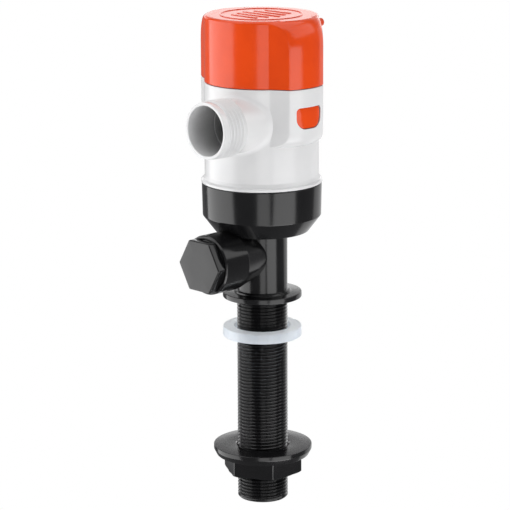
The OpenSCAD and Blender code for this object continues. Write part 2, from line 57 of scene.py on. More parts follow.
# Measures in millimetres, as in the CAD source. The CAD has the windows' corners a little smaller.
STEM_R, STEM_L, STEM_BORE = 13.35, 110.4, 9.5
PITCH, THREAD_DEPTH, THREAD_TOP = 1.814, 0.95, -1.2
NECK_R, FLANGE_R, FLANGE_T = 13.25, 20.75, 2.85
CUP_Z, CUP_FOOT, CUP_LOW_R, CUP_CONE_Z = 35.8, 24.35, 30.9, 44.4
CUP_TOP_R, CUP_RIM_Z, CUP_IN_R = 31.25, 61.6, 28.55
PORT_Z, PORT_R, PORT_FRONT, PORT_BACK = 23.3, 15.5, 40.2, 23.7
CONE_NEAR_R, CONE_FAR_R, PASSAGE_R, SOCKET_R, SOCKET_FLOOR = 9.2, 15.4, 8.6, 13.25, 26.5
PLUG_R, PLUG_HEX_R, PLUG_HEX_T = 13.15, 15.0, 4.8
WASHER_R, WASHER_HOLE, WASHER_T, WASHER_Z = 20.7, 14.7, 5.4, -15.8
NUT_FLANGE_R, NUT_FLANGE_T, NUT_HEX_R, NUT_H, NUT_Z = 26.1, 5.2, 21.4, 14.7, -81.1
BODY_R, CHAMBER_R, CHAMBER_Z, RIM_Z, EYE_R = 29.7, 26.5, 68.0, 114.3, 11.0
LIP_R, LIP_Z, SPIGOT_R, SPIGOT_LOW, SPIGOT_SEAL_Z = 31.5, 61.9, 28.25, 49.0, 55.4
LOBE_X, LOBE_FACE_R, LOBE_LOW_Z, LOBE_BEND_Z = 35.5, 28.5, 84.4, 93.0
LOW_DROP, TOP_DROP, BUTTON_SINK = 5.7, 6.2, 0.45
FLANK_NEAR, FLANK_FAR = (25.0, 16.9), (32.78, 12.15)
WINDOW_W, WINDOW_TOP, WINDOW_LOW = 8.6, 105.0, 93.8
WINDOW_LOW_CORNER, WINDOW_TOP_CORNER = 5.8, 2.3
POCKET_IN, POCKET_OUT, POCKET_W, BUTTON_GAP = 28.2, 31.7, 9.5, 0.25
OUT_X, OUT_Z, OUT_FRONT, OUT_BORE, OUT_STEP = 11.0, 96.0, 50.0, 12.85, 32.0
OUT_NECK, OUT_NOSE, OUT_CREST, OUT_PITCH = 13.9, 14.5, 14.95, 2.31
CAP_R, CAP_LOW, CAP_TOP, CAP_WALL, CAP_BEND = 29.5, 114.6, 148.8, 2.3, 134.0
SHELL_R, FLANGE_HIGH = 17.5, 118.0
GLAND_Z, GLAND_TIP = 140.3, 44.2
NUT_BORE = STEM_R + 0.07
FLOOR_GAP = 0.05

# One turn of a screw as (share of the pitch, share of the depth cut or of the ridge's rise).
SCREW_SHAPE = [(0.0, 0.08), (0.04, 0.0), (0.10, 0.0), (0.14, 0.08), (0.53, 1.0), (0.59, 1.0)]
RIDGE_SHAPE = [(0.0, 0.0), (0.05, 0.08), (0.35, 1.0), (0.45, 1.0), (0.75, 0.08), (0.8, 0.0)]

# The rounding of the body's and the cap's meeting edges as (inset, distance from the edge).
EASED_RIM = [(0, 0.4), (0.04, 0.2), (0.15, 0.06), (0.38, 0)]


# ---------------------------------------------------------------- mesh tools

class Shell:
    """Vertices and faces of one mesh, gathered in millimetres."""

    def __init__(self):
        self.points = []
        self.faces = []

    def add(self, points, faces):
        start = len(self.points)
        self.points.extend(points)
        self.faces.extend([start + i for i in face] for face in faces)

    def grid(self, rows, closed=False, shift=0):
        """Joins rings of equal length. shift rows are climbed in each turn, as on a thread."""
        count, width = len(rows), len(rows[0])
        faces = []
        for j in range(count if closed else count - 1):
            for i in range(width):
                k = (i + 1) % width
                up = shift if k == 0 else 0
                if not closed and j + 1 + up >= count:
                    continue
                a, b = j, (j + 1) % count
                faces.append([a * width + i, (a + up) % count * width + k,
                              (b + up) % count * width + k, b * width + i])
        self.add([tuple(p) for row in rows for p in row], faces)


def finish_mesh(mesh, sharp=35):
    """Merges shared rings, drops empty faces, and turns all faces outwards."""
    bm = bmesh.new()
    bm.from_mesh(mesh)
    bmesh.ops.remove_doubles(bm, verts=bm.verts, dist=2e-6)
    bmesh.ops.dissolve_degenerate(bm, edges=bm.edges, dist=1e-7)
    bmesh.ops.recalc_face_normals(bm, faces=bm.faces)
    bm.to_mesh(mesh)
    bm.free()
    mesh.polygons.foreach_set("use_smooth", [True] * len(mesh.polygons))
    mesh.set_sharp_from_angle(angle=math.radians(sharp))
    mesh.update()


def to_object(shell, name, sharp=35):
    """An object in the scene, in metres, with edges over an angle kept sharp."""
    mesh = bpy.data.meshes.new(name)
    points = (np.array(shell.points, float) * MM).tolist()
    mesh.from_pydata(points, [], shell.faces)
    finish_mesh(mesh, sharp)
    obj = bpy.data.objects.new(name, mesh)
    bpy.context.scene.collection.objects.link(obj)
    return obj


def piece(shell, name, material, body, nodes, sharp=35):
    """A finished piece: it rides on a body and stands for CAD nodes."""
    obj = to_object(shell, name, sharp)
    obj.data.materials.append(material)
    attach(obj, body)
    if nodes:
        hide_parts(*nodes)
    return obj


def boolean(obj, cutter, sharp=35):
    """Cuts one mesh out of another and keeps the result."""
    modifier = obj.modifiers.new("cut", "BOOLEAN")
    modifier.operation = "DIFFERENCE"
    modifier.solver = "EXACT"
    modifier.object = cutter
    bpy.context.view_layer.update()
    graph = bpy.context.evaluated_depsgraph_get()
    mesh = bpy.data.meshes.new_from_object(obj.evaluated_get(graph))
    obj.modifiers.clear()
    obj.data = mesh
    bpy.data.objects.remove(cutter)
    finish_mesh(mesh, sharp)


def rounded(points, steps=5):
    """Profile points (radius, height, fillet) with every corner rounded by its fillet."""
    out = []
    for i, (r, z, fillet) in enumerate(points):
        here = np.array((r, z), float)
        if fillet <= 0:
            out.append(here)
            continue
        back = np.array(points[i - 1][:2], float) - here
        ahead = np.array(points[(i + 1) % len(points)][:2], float) - here
        back /= np.linalg.norm(back)
        ahead /= np.linalg.norm(ahead)
        half = 0.5 * math.acos(float(np.clip(back @ ahead, -1, 1)))
        middle = back + ahead
        centre = here + middle / np.linalg.norm(middle) * fillet / math.sin(half)
        first = here + back * fillet / math.tan(half) - centre
        last = here + ahead * fillet / math.tan(half) - centre
        turn = math.pi - 2 * half
        for k in range(steps + 1):
            t = k / steps
            out.append(centre + (math.sin((1 - t) * turn) * first + math.sin(t * turn) * last) / math.sin(turn))
    return out


def even_angles(count):
    """Angles spread evenly over a turn."""
    return np.arange(count) * 2 * math.pi / count


def upright(angles, radius, height):
    """A ring about Z. Radius and height are numbers or one value per angle."""
    radius = radius + 0 * angles
    height = height + 0 * angles
    return np.stack([radius * np.cos(angles), radius * np.sin(angles), height], 1)


def lying(x, z):
    """Places rings about an axis along -Y, at offset x and height z."""
    def ring(angles, radius, reach):
        radius = radius + 0 * angles
        reach = reach + 0 * angles
        return np.stack([x + radius * np.cos(angles), -reach, z + radius * np.sin(angles)], 1)
    return ring


def backward(x, z):
    """Places rings about an axis along +Y, at offset x and height z."""
    def ring(angles, radius, reach):
        radius = radius + 0 * angles
        reach = reach + 0 * angles
        return np.stack([x - radius * np.cos(angles), reach, z + radius * np.sin(angles)], 1)
    return ring


def lathe(shell, profile, angles, ring=upright, closed=False):
    """Turns a profile of (radius, reach) about an axis."""
    shell.grid([ring(angles, r, z) for r, z in profile], closed=closed)


def smooth_min(a, b, k):
    """The smaller of two values, with an eased change over a width k."""
    return np.minimum(a, b) - k / 4 * np.maximum(1 - np.abs(a - b) / k, 0) ** 2


def smooth_max(a, b, k):
    """The larger of two values, with an eased change over a width k."""
    return -smooth_min(-a, -b, k)


def screw_levels(angles, shape, pitch, low, high, fade):
    """Steps along a helix: its rise or cut, the height at each angle, and how far it has faded in."""
    turns = math.ceil((high - low) / pitch) + 1
    for k in range(-1, turns + 1):
        for share, amount in shape:
            s = np.clip(low + (k + share + angles / (2 * math.pi)) * pitch, low, high)
            t = np.clip(np.minimum(s - low, high - s) / (fade * pitch), 0, 1)
            yield amount, s, t * t * (3 - 2 * t)


def thread(shell, angles, radius, low, high, ring=upright):
    """A helical thread that fades out into a plain ring at both ends."""
    rows = [ring(angles, radius - THREAD_DEPTH * cut * ease, s)
            for cut, s, ease in screw_levels(angles, SCREW_SHAPE, PITCH, low, high, 0.8)]
    shell.grid(rows, shift=len(SCREW_SHAPE))


def box(shell, low, high, bevel=0.3):
    """A box with bevelled edges."""
    bm = bmesh.new()
    bmesh.ops.create_cube(bm, size=1)
    low, high = np.array(low, float), np.array(high, float)
    for v in bm.verts:
        v.co = Vector(low + (np.array(v.co) + 0.5) * (high - low))
    bmesh.ops.bevel(bm, geom=bm.edges[:], offset=bevel, segments=2, profile=0.5, affect="EDGES")
    bm.verts.index_update()
    shell.add([tuple(v.co) for v in bm.verts], [[v.index for v in f.verts] for f in bm.faces])
    bm.free()


# ---------------------------------------------------------------- materials

def add(tree, kind, inputs=None, **settings):
    """A node with its settings, and inputs that are values or sockets."""
    made = tree.nodes.new(kind)
    for key, value in settings.items():
        setattr(made, key, value)
    for key, value in (inputs or {}).items():
        if isinstance(value, bpy.types.NodeSocket):
            tree.links.new(value, made.inputs[key])
        else:
            made.inputs[key].default_value = value
    return made


def ramp(tree, source, low, high, start=0.0, end=1.0):
    """Maps a value between two limits onto a range."""
    made = add(tree, "ShaderNodeMapRange", {"Value": source, "From Min": low, "From Max": high,
                                            "To Min": start, "To Max": end})
    return made.outputs["Result"]


def mix(tree, factor, a, b):
    """Blends two colours or sockets by a factor."""
    made = add(tree, "ShaderNodeMix", {"Factor": factor}, data_type="RGBA")
    for socket, value in ((made.inputs[6], a), (made.inputs[7], b)):
        if isinstance(value, bpy.types.NodeSocket):
            tree.links.new(value, socket)
        else:
            socket.default_value = value
    return made.outputs[2]


def rgb(r, g, b):
    """An opaque colour."""
    return (r, g, b, 1.0)


def moulded(name, colour, deep, worn, rough, grain=0.02, grain_scale=2600, wear=0.5, ior=1.5, painted_shade=1.0):
    """Moulded plastic: slow colour drift, fine grain, edges rubbed a little paler, and painted shade darkening
    its hollows.

    A painted shade below 1 is the share of its colour left deep inside a hollow, where ambient occlusion paints
    the shade into the colour.
    """
    material = bpy.data.materials.new(name)
    material.use_nodes = True
    tree = material.node_tree
    tree.nodes.clear()
    where = add(tree, "ShaderNodeTexCoord").outputs["Object"]
    drift = add(tree, "ShaderNodeTexNoise", {"Vector": where, "Scale": 55.0, "Detail": 3.0, "Roughness": 0.55})
    fine = add(tree, "ShaderNodeTexNoise", {"Vector": where, "Scale": grain_scale, "Detail": 2.0})
    smear = add(tree, "ShaderNodeTexNoise", {"Vector": where, "Scale": 420.0, "Detail": 4.0})
    edge = add(tree, "ShaderNodeNewGeometry").outputs["Pointiness"]
    edge = ramp(tree, edge, 0.53, 0.60)
    patch = ramp(tree, smear.outputs["Fac"], 0.45, 0.72)
    edge = add(tree, "ShaderNodeMath", {0: edge, 1: patch}, operation="MULTIPLY").outputs[0]
    edge = add(tree, "ShaderNodeMath", {0: edge, 1: wear}, operation="MULTIPLY").outputs[0]
    base = mix(tree, ramp(tree, drift.outputs["Fac"], 0.35, 0.68), deep, colour)
    base = mix(tree, edge, base, worn)
    # Painted shade: ambient occlusion darkens the base colour in hollows, crevices and bores.
    if painted_shade < 1:
        painted_hollow_shade = add(tree, "ShaderNodeAmbientOcclusion", {"Distance": 0.04}, samples=8).outputs["AO"]
        base = mix(tree, ramp(tree, painted_hollow_shade, 0.05, 0.5), tuple(painted_shade * v for v in colour[:3]) + (1.0,), base)
    gloss = ramp(tree, drift.outputs["Fac"], 0.3, 0.7, rough * 0.9, rough * 1.12)
    gloss = add(tree, "ShaderNodeMath", {0: ramp(tree, fine.outputs["Fac"], 0.3, 0.7, -0.02, 0.02), 1: gloss},
                operation="ADD").outputs[0]
    gloss = add(tree, "ShaderNodeMath", {0: edge, 1: 0.25, 2: gloss}, operation="MULTIPLY_ADD").outputs[0]
    bump = add(tree, "ShaderNodeBump", {"Height": fine.outputs["Fac"], "Strength": grain, "Distance": 0.0002})
    shader = add(tree, "ShaderNodeBsdfPrincipled", {"Base Color": base, "Roughness": gloss, "IOR": ior,
                                                    "Normal": bump.outputs["Normal"]})
    out = add(tree, "ShaderNodeOutputMaterial")
    tree.links.new(shader.outputs[0], out.inputs[0])
    return material


def metal(name, colour, deep, rough, brushed=(40, 40, 3000)):
    """Turned or drawn metal with fine lines along its length."""
    material = bpy.data.materials.new(name)
    material.use_nodes = True
    tree = material.node_tree
    tree.nodes.clear()
    where = add(tree, "ShaderNodeTexCoord").outputs["Object"]
    stretch = add(tree, "ShaderNodeMapping", {"Vector": where, "Scale": brushed}).outputs[0]
    lines = add(tree, "ShaderNodeTexNoise", {"Vector": stretch, "Scale": 1.0, "Detail": 3.0})
    stain = add(tree, "ShaderNodeTexNoise", {"Vector": where, "Scale": 180.0, "Detail": 3.0})
    base = mix(tree, ramp(tree, stain.outputs["Fac"], 0.35, 0.7), deep, colour)
    gloss = ramp(tree, lines.outputs["Fac"], 0.3, 0.7, rough * 0.75, rough * 1.3)
    bump = add(tree, "ShaderNodeBump", {"Height": lines.outputs["Fac"], "Strength": 0.15, "Distance": 0.0001})
    shader = add(tree, "ShaderNodeBsdfPrincipled", {"Base Color": base, "Roughness": gloss, "Metallic": 1.0,
                                                    "Normal": bump.outputs["Normal"]})
    out = add(tree, "ShaderNodeOutputMaterial")
    tree.links.new(shader.outputs[0], out.inputs[0])
    return material


def washer_rubber():
    """Milky soft rubber that lets some light through, with fine flecks and a painted highlight that makes its
    upward faces paler.
    """
    material = bpy.data.materials.new("clear_rubber_look")
    material.use_nodes = True
    tree = material.node_tree
    tree.nodes.clear()
    where = add(tree, "ShaderNodeTexCoord").outputs["Object"]
    fleck = add(tree, "ShaderNodeTexNoise", {"Vector": where, "Scale": 520.0, "Detail": 4.0})
    cloud = add(tree, "ShaderNodeTexNoise", {"Vector": where, "Scale": 90.0, "Detail": 2.0})
    normal = add(tree, "ShaderNodeNewGeometry").outputs["Normal"]
    normal_for_painted_top_light = add(tree, "ShaderNodeSeparateXYZ", {"Vector": normal})
    base = mix(tree, ramp(tree, cloud.outputs["Fac"], 0.35, 0.68), rgb(0.85, 0.90, 0.96), rgb(0.92, 0.96, 1.0))
    base = mix(tree, ramp(tree, fleck.outputs["Fac"], 0.52, 0.72, 0.0, 0.6), base, rgb(0.74, 0.80, 0.87))
    # Painted light: faces that point up are made paler, as if lit from above.
    base = mix(tree, ramp(tree, normal_for_painted_top_light.outputs["Z"], 0.3, 0.9), base, rgb(0.96, 0.985, 1.0))
    gloss = ramp(tree, fleck.outputs["Fac"], 0.3, 0.7, 0.28, 0.45)
    bump = add(tree, "ShaderNodeBump", {"Height": fleck.outputs["Fac"], "Strength": 0.08, "Distance": 0.0003})
    shader = add(tree, "ShaderNodeBsdfPrincipled", {"Base Color": base, "Roughness": gloss, "IOR": 1.42,
                                                    "Transmission Weight": 0.6,
                                                    "Normal": bump.outputs["Normal"]})
    out = add(tree, "ShaderNodeOutputMaterial")
    tree.links.new(shader.outputs[0], out.inputs[0])
    return material


# The black and white plastics take painted shade in their hollows (0.3 of their colour at the deepest).
BLACK = moulded("black_plastic_look", rgb(0.007, 0.007, 0.0075), rgb(0.005, 0.005, 0.0055),
                rgb(0.020, 0.020, 0.021), 0.17, wear=0.2, painted_shade=0.3)
WHITE = moulded("white_plastic_look", rgb(0.73, 0.73, 0.73), rgb(0.70, 0.70, 0.705),
                rgb(0.86, 0.86, 0.86), 0.22, grain=0.015, wear=0.3, painted_shade=0.3)
ORANGE = moulded("orange_plastic_look", rgb(0.78, 0.066, 0.004), rgb(0.72, 0.058, 0.004),
                 rgb(0.88, 0.15, 0.05), 0.17, grain=0.015, wear=0.35, ior=1.46)
ORANGE_RUBBER = moulded("orange_rubber_look", rgb(0.72, 0.062, 0.008), rgb(0.62, 0.05, 0.007),
                        rgb(0.80, 0.14, 0.05), 0.42, grain=0.05, wear=0.4)
DARK = moulded("dark_plastic_look", rgb(0.020, 0.020, 0.022), rgb(0.013, 0.013, 0.015),
               rgb(0.06, 0.06, 0.065), 0.35, grain=0.06)
SEAL = moulded("seal_rubber_look", rgb(0.016, 0.016, 0.017), rgb(0.010, 0.010, 0.011),
               rgb(0.05, 0.05, 0.05), 0.55, grain=0.08, grain_scale=1800)
CARBON = moulded("carbon_look", rgb(0.025, 0.025, 0.027), rgb(0.015, 0.015, 0.016),
                 rgb(0.09, 0.09, 0.09), 0.6, grain=0.1, grain_scale=3500)
MAGNET = moulded("magnet_look", rgb(0.045, 0.046, 0.050), rgb(0.030, 0.031, 0.034),
                 rgb(0.12, 0.12, 0.12), 0.5, grain=0.08, grain_scale=3200)
CLEAR = washer_rubber()
STEEL = metal("steel_look", rgb(0.56, 0.57, 0.58), rgb(0.44, 0.45, 0.47), 0.28)
CORE = metal("core_steel_look", rgb(0.40, 0.40, 0.42), rgb(0.30, 0.30, 0.33), 0.4, (60, 60, 4200))
COPPER = metal("copper_look", rgb(0.86, 0.36, 0.17), rgb(0.68, 0.24, 0.11), 0.3)
BRONZE = metal("bronze_look", rgb(0.63, 0.42, 0.20), rgb(0.50, 0.32, 0.15), 0.38)


# ---------------------------------------------------------------- base

def base_profile_above():
    """Hull flange, neck and cup, from the stem's thread up and over to the cup's floor."""
    return rounded([
        (STEM_R, THREAD_TOP, 0), (STEM_R, 0, 0.35), (FLANGE_R, 0, 0.45), (FLANGE_R, FLANGE_T, 0.45),
        (NECK_R + 1.8, FLANGE_T, 0.3), (NECK_R + 1.5, FLANGE_T + 0.95, 0.35), (NECK_R, FLANGE_T + 1.1, 0.3),
        (NECK_R, CUP_Z, 1.2), (CUP_FOOT, CUP_Z, 1.0), (CUP_LOW_R, CUP_CONE_Z, 0.9),
        (CUP_TOP_R, CUP_RIM_Z, 0.4), (CUP_IN_R, CUP_RIM_Z, 0.4), (CUP_IN_R, CUP_CONE_Z + 1.6, 0.8),
        (CUP_FOOT - 1.7, CUP_Z + 2.2, 0.8), (STEM_BORE, CUP_Z + 2.2, 0.5), (STEM_BORE, 30, 0)])


def make_base():
    """Cup, neck, hull flange and threaded stem in one, with the side port's boss and collar."""
    angles = even_angles(144)
    shell = Shell()
    above = base_profile_above()
    low = -STEM_L + 0.9
    below = rounded([(STEM_BORE, 30, 0), (STEM_BORE, -STEM_L, 0.3), (STEM_R - 0.65, -STEM_L, 0.15),
                     (STEM_R, -STEM_L + 0.7, 0.2), (STEM_R, low, 0)])
    lathe(shell, above, angles)
    lathe(shell, below, angles)
    thread(shell, angles, STEM_R, low, THREAD_TOP)
    obj = piece(shell, "base", BLACK, "housing", ["base_cup", "base_neck", "base_stem"])
    hole = Shell()
    lathe(hole, [(0, 2), (PASSAGE_R, 2), (PASSAGE_R, 15), (0, 15)], even_angles(96), lying(0, PORT_Z))
    boolean(obj, to_object(hole, "port_hole"))
    return obj


def neck_reach(angles, radius, depth):
    """How far along -Y a surface inside the neck lies, under a ring about the port's axis."""
    return np.sqrt((NECK_R - depth) ** 2 - (radius * np.cos(angles)) ** 2)


def make_side_port():
    """Cone and collar on the neck. The cone's small end is buried in the neck's wall."""
    angles = even_angles(128)
    ring = lying(0, PORT_Z)
    slope = (CONE_FAR_R - CONE_NEAR_R) / PORT_BACK
    wall, passage = 1.6, PASSAGE_R - 0.06
    buried = neck_reach(angles, CONE_NEAR_R + 4 * slope, wall)
    rows = [ring(angles, passage, neck_reach(angles, PASSAGE_R, wall)),
            ring(angles, CONE_NEAR_R + buried * slope, buried)]
    outside = rounded([
        (CONE_FAR_R - 8 * slope, PORT_BACK - 8, 0), (CONE_FAR_R, PORT_BACK, 0.2),
        (PORT_R, PORT_BACK + 0.3, 0.2), (PORT_R, PORT_FRONT - 0.8, 0.15), (PORT_R - 0.5, PORT_FRONT, 0.15),
        (SOCKET_R + 0.45, PORT_FRONT, 0.12), (SOCKET_R, PORT_FRONT - 0.5, 0.2),
        (SOCKET_R, SOCKET_FLOOR, 0.25), (passage, SOCKET_FLOOR, 0.3), (passage, 15, 0)])
    for r, y in [(CONE_FAR_R - 0.8 * slope, PORT_BACK - 0.8)] + outside[1:]:
        rows.append(ring(angles, r, y))
    inside_cup_foot = CUP_Z + 1.4
    for row in rows[:3]:
        row[:, 2] = np.minimum(row[:, 2], inside_cup_foot)
    shell = Shell()
    shell.grid(rows, closed=True)
    return piece(shell, "side_port", BLACK, "housing", [])


# ---------------------------------------------------------------- fittings

def hex_radius(angles, corner, turn, soften=0.25):
    """Radius of a hexagon whose corners are eased; a corner stands at the angle turn."""
    apothem = corner * math.cos(math.radians(30))
    off = np.mod(angles - turn + 1e-9, math.pi / 3) - math.pi / 6
    return smooth_min(apothem / np.cos(off), corner - 0.1 + 0 * angles, soften)


def hex_angles(turn):
    """Even angles with closer ones beside each corner of a hexagon."""
    beside = (-2.2, -1.4, -0.7, 0.7, 1.4, 2.2)
    extra = [turn + k * math.pi / 3 + math.radians(d) for k in range(6) for d in beside]
    every = np.mod(np.concatenate([even_angles(120), np.array(extra)]), 2 * math.pi)
    return np.unique(np.round(every, 7))


def make_side_plug():
    """Hexagonal plug with a screw thread, hollow from its nose."""
    ring = lying(0, PORT_Z)
    angles = hex_angles(0)
    back, front = PORT_FRONT + 0.3, PORT_FRONT + 0.3 + PLUG_HEX_T
    flat = hex_radius(angles, PLUG_HEX_R, 0)
    shell = Shell()
    low, high = SOCKET_FLOOR + 3, PORT_FRONT - 1.2
    neck = rounded([(PLUG_R, high, 0), (PLUG_R, PORT_FRONT - 0.4, 0.3), (11.8, PORT_FRONT + 0.3, 0)])
    rows = [ring(angles, r, y) for r, y in neck]
    rows.append(ring(angles, flat - 0.3, back))
    rows.append(ring(angles, flat - 0.08, back + 0.08))
    rows.append(ring(angles, flat, back + 0.3))
    for inset, depth in ((0, 0.75), (0.06, 0.45), (0.2, 0.2), (0.45, 0.05), (0.8, 0)):
        rows.append(ring(angles, flat - inset, front - depth))
    rows.append(ring(angles, 6, front))
    rows.append(ring(angles, 0, front))
    shell.grid(rows)
    thread(shell, angles, PLUG_R, low, high, ring)
    nose = rounded([(PLUG_R, low, 0), (PLUG_R - 0.9, SOCKET_FLOOR + 2, 0.15), (8.9, SOCKET_FLOOR + 2, 0.1),
                    (8.9, SOCKET_FLOOR + 0.2, 0.2), (7, SOCKET_FLOOR + 0.2, 0.2), (7, PORT_FRONT - 1, 0.5),
                    (0, PORT_FRONT - 1, 0)])
    lathe(shell, nose, angles, ring)
    return piece(shell, "side_plug_body", BLACK, "plug", ["side_plug"], sharp=40)


def make_nut():
    """Flanged hexagon nut. The corners of the hexagon are turned off at its lower end."""
    angles = hex_angles(math.pi / 6)
    low, step = NUT_Z - NUT_H, NUT_Z - NUT_FLANGE_T
    flat = hex_radius(angles, NUT_HEX_R, math.pi / 6, 0.15)
    rows = []
    for r, z in rounded([(NUT_BORE, low + 1, 0), (NUT_BORE, low, 0.3), (NUT_HEX_R - 2.8, low, 0)]):
        rows.append(upright(angles, r, z))
    for k in range(9):
        z = low + 1.6 * k / 8
        cone = NUT_HEX_R - 1.25 + (z - low) * 1.7
        inset = 0.3 if k == 0 else (0.08 if k == 1 else 0)
        rows.append(upright(angles, np.minimum(flat, cone) - inset, z))
    rows.append(upright(angles, flat, step - 0.3))
    rows.append(upright(angles, flat + 0.1, step - 0.08))
    rows.append(upright(angles, flat + 0.35, step))
    disc = rounded([(NUT_HEX_R + 1, step, 0), (NUT_FLANGE_R - 1.5, step, 0.5), (NUT_FLANGE_R, NUT_Z - 2.2, 1.2),
                    (NUT_FLANGE_R, NUT_Z, 0.3), (STEM_R + 1.2, NUT_Z, 0.2), (NUT_BORE, NUT_Z - 1.1, 0.1),
                    (NUT_BORE, low + 1, 0)])
    rows += [upright(angles, r, z) for r, z in disc]
    shell = Shell()
    shell.grid(rows, closed=True)
    return piece(shell, "hull_nut", BLACK, "nut", ["flange_nut"], sharp=40)


def make_washer():
    """Soft pale washer with rounded rims."""
    low = WASHER_Z - WASHER_T
    profile = rounded([(WASHER_HOLE, low, 0.5), (WASHER_R, low, 0.7), (WASHER_R, WASHER_Z, 0.7),
                       (WASHER_HOLE, WASHER_Z, 0.5)])
    shell = Shell()
    lathe(shell, profile, even_angles(144), closed=True)
    return piece(shell, "soft_washer", CLEAR, "washer", ["seal_washer"])


# ---------------------------------------------------------------- lobes

def lobe_angles():
    """Angles that crowd together where the lobes' edges run."""
    quarter = np.concatenate([np.arange(0, 18, 3), np.arange(18, 38, 0.5), np.arange(38, 90, 2)])
    whole = np.concatenate([quarter, 180 - quarter, 180 + quarter, 360 - quarter, [90, 270]])
    return np.radians(np.unique(np.round(np.mod(whole, 360), 4)))


def lobe_radius(angles, drop, edge=0.35):
    """Radius of a lobe's plan: a crowned outer face between two splayed flanks. drop draws the face in."""
    c, s = np.abs(np.cos(angles)), np.abs(np.sin(angles))
    axis = LOBE_X - LOBE_FACE_R
    face = axis * c + np.sqrt((LOBE_FACE_R - drop) ** 2 - (axis * s) ** 2)
    run, rise = FLANK_FAR[0] - FLANK_NEAR[0], FLANK_NEAR[1] - FLANK_FAR[1]
    nearest = (rise * FLANK_NEAR[0] + run * FLANK_NEAR[1]) / math.hypot(rise, run)
    lean = np.maximum(math.atan2(run, rise) - np.arctan2(s, c), 0)
    return smooth_min(face, nearest / np.cos(lean), edge)


def face_drop(distance, length, most):
    """How far a lobe's face has curved in at a distance past its bend, along a quarter of an ellipse."""
    t = min(max(distance / length, 0), 1)
    return most * (1 - math.sqrt(1 - t * t))


def body_drop(z):
    """How far the lobe of the white body has drawn in at a height."""
    return face_drop(LOBE_BEND_Z - z, LOBE_BEND_Z - LOBE_LOW_Z, LOW_DROP)


def cap_drop(z):
    """How far the lobe of the cap has drawn in at a height."""
    return face_drop(z - CAP_BEND, CAP_TOP - 0.2 - CAP_BEND, TOP_DROP)


def d_outline(grow, steps=8):
    """The D shape of a button's window as points (y, z), grown or shrunk with its corners."""
    w, top, low = WINDOW_W + grow, WINDOW_TOP + grow, WINDOW_LOW - grow
    big, small = max(WINDOW_LOW_CORNER + grow, 0.4), max(WINDOW_TOP_CORNER + grow, 0.2)
    points = []
    for cy, cz, r, first in ((w - big, low + big, big, -90), (w - small, top - small, small, 0),
                             (small - w, top - small, small, 90), (big - w, low + big, big, 180)):
        for k in range(steps + 1):
            a = math.radians(first + 90 * k / steps)
            points.append((cy + r * math.cos(a), cz + r * math.sin(a)))
    return np.array(points)


def d_rows(side, levels):
    """Rings of the D shape at reaches x, each grown or shrunk; side is 1 or -1."""
    return [np.stack([side * (x + 0 * d[:, 0]), side * d[:, 0], d[:, 1]], 1)
            for x, d in ((x, d_outline(grow)) for x, grow in levels)]


def fill_end(shell, row):
    """Closes a ring with a fan of faces round its middle."""
    points = [tuple(row.mean(0))] + [tuple(p) for p in row]
    count = len(row)
    shell.add(points, [[0, 1 + i, 1 + (i + 1) % count] for i in range(count)])


# ---------------------------------------------------------------- body

def body_rows(angles):
    """Rings of the white body, all round its section."""
    rows = []
    inner = rounded([(EYE_R, CHAMBER_Z - 4, 0.4), (24.5, CHAMBER_Z - 4, 0.5), (24.5, SPIGOT_LOW, 0.3),
                     (SPIGOT_R, SPIGOT_LOW, 0.6), (SPIGOT_R, SPIGOT_SEAL_Z - 1.3, 0.1),
                     (SPIGOT_R - 2.05, SPIGOT_SEAL_Z - 1.3, 0.1), (SPIGOT_R - 2.05, SPIGOT_SEAL_Z + 1.3, 0.1),
                     (SPIGOT_R, SPIGOT_SEAL_Z + 1.3, 0.1), (SPIGOT_R, LIP_Z, 0.1), (LIP_R, LIP_Z, 0.3),
                     (LIP_R, LIP_Z + 1.35, 0.35), (BODY_R + 0.62, LIP_Z + 2.1, 0.5),
                     (BODY_R, LIP_Z + 3.8, 1.2), (BODY_R, 80, 0)], 4)
    rows += [upright(angles, r, z) for r, z in inner]
    for z in np.concatenate([np.arange(83.6, 93.4, 0.3), [94, 100, 106, 112]]):
        rows.append(upright(angles, smooth_max(BODY_R + 0 * angles, lobe_radius(angles, body_drop(z)), 0.3), z))
    top = smooth_max(BODY_R + 0 * angles, lobe_radius(angles, 0), 0.3)
    for inset, drop in EASED_RIM:
        rows.append(upright(angles, top - inset, RIM_Z - drop))
    chamber = rounded([(CHAMBER_R + 1, RIM_Z, 0), (CHAMBER_R, RIM_Z, 0.4), (CHAMBER_R, CHAMBER_Z, 0.8),
                       (EYE_R, CHAMBER_Z, 0.6), (EYE_R, CHAMBER_Z - 2, 0)], 4)
    rows += [upright(angles, r, z) for r, z in chamber]
    return rows


def tube_cutter(name, radius, near, far, x, z):
    """A cylinder along -Y to cut a round hole with."""
    shell = Shell()
    lathe(shell, [(0, near), (radius, near), (radius, far), (0, far)], even_angles(128), lying(x, z))
    return to_object(shell, name)


def window_cutter(side):
    """The hole for a button in one lobe's face."""
    shell = Shell()
    rows = d_rows(side, [(POCKET_OUT - 0.4, 0.0), (LOBE_X + 2, 0.0)])
    shell.grid(rows)
    fill_end(shell, rows[0])
    fill_end(shell, rows[-1])
    return to_object(shell, "window_hole")


def pocket_cutter(side):
    """The space behind one lobe's face, open at the body's rim."""
    shell = Shell()
    low, high = sorted((side * POCKET_IN, side * POCKET_OUT))
    box(shell, (low, -POCKET_W, LOBE_BEND_Z - 0.7), (high, POCKET_W, RIM_Z + 3), 0.25)
    return to_object(shell, "pocket_hole")


